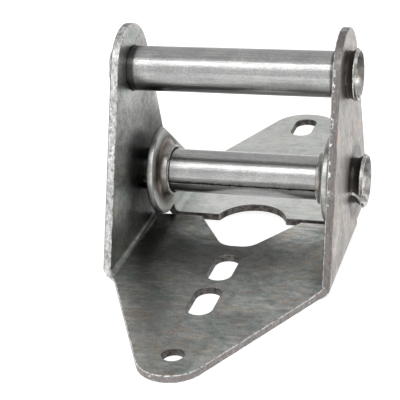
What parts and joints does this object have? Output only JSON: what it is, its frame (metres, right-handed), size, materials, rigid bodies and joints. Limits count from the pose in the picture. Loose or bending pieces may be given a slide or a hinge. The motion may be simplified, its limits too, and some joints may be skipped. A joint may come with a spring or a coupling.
{
  "type": "double-tube roller hinge",
  "caption": "Overhead-door roller hinge: two pressed steel leaves folding about a rolled hinge tube, with a roller tube held between tall side flanges.",
  "frame": {"origin": "middle of the hinge tube's axis, halfway between the flanges", "axes": "+X along the tubes, +Y towards the tip of the rear leaf, +Z away from the face that lies on the door"},
  "size_m": [0.08, 0.1904, 0.0721],
  "materials": {
    "leaf_zinc": "zinc-plated pressed sheet, mottled and lightly scuffed",
    "tube_zinc": "zinc-plated rolled tube, smooth satin"
  },
  "bodies": {
    "front_leaf": {"front_leaf": "leaf_zinc", "roller_tube": "tube_zinc", "hinge_tube": "tube_zinc"},
    "rear_leaf": {"rear_leaf": "leaf_zinc"}
  },
  "joints": [
    {"name": "leaf_pivot", "type": "hinge", "parent": "front_leaf", "child": "rear_leaf", "pos_m": [0, 0, 0], "axis": [1, 0, 0], "range_deg": [-4, 105]}
  ]
}
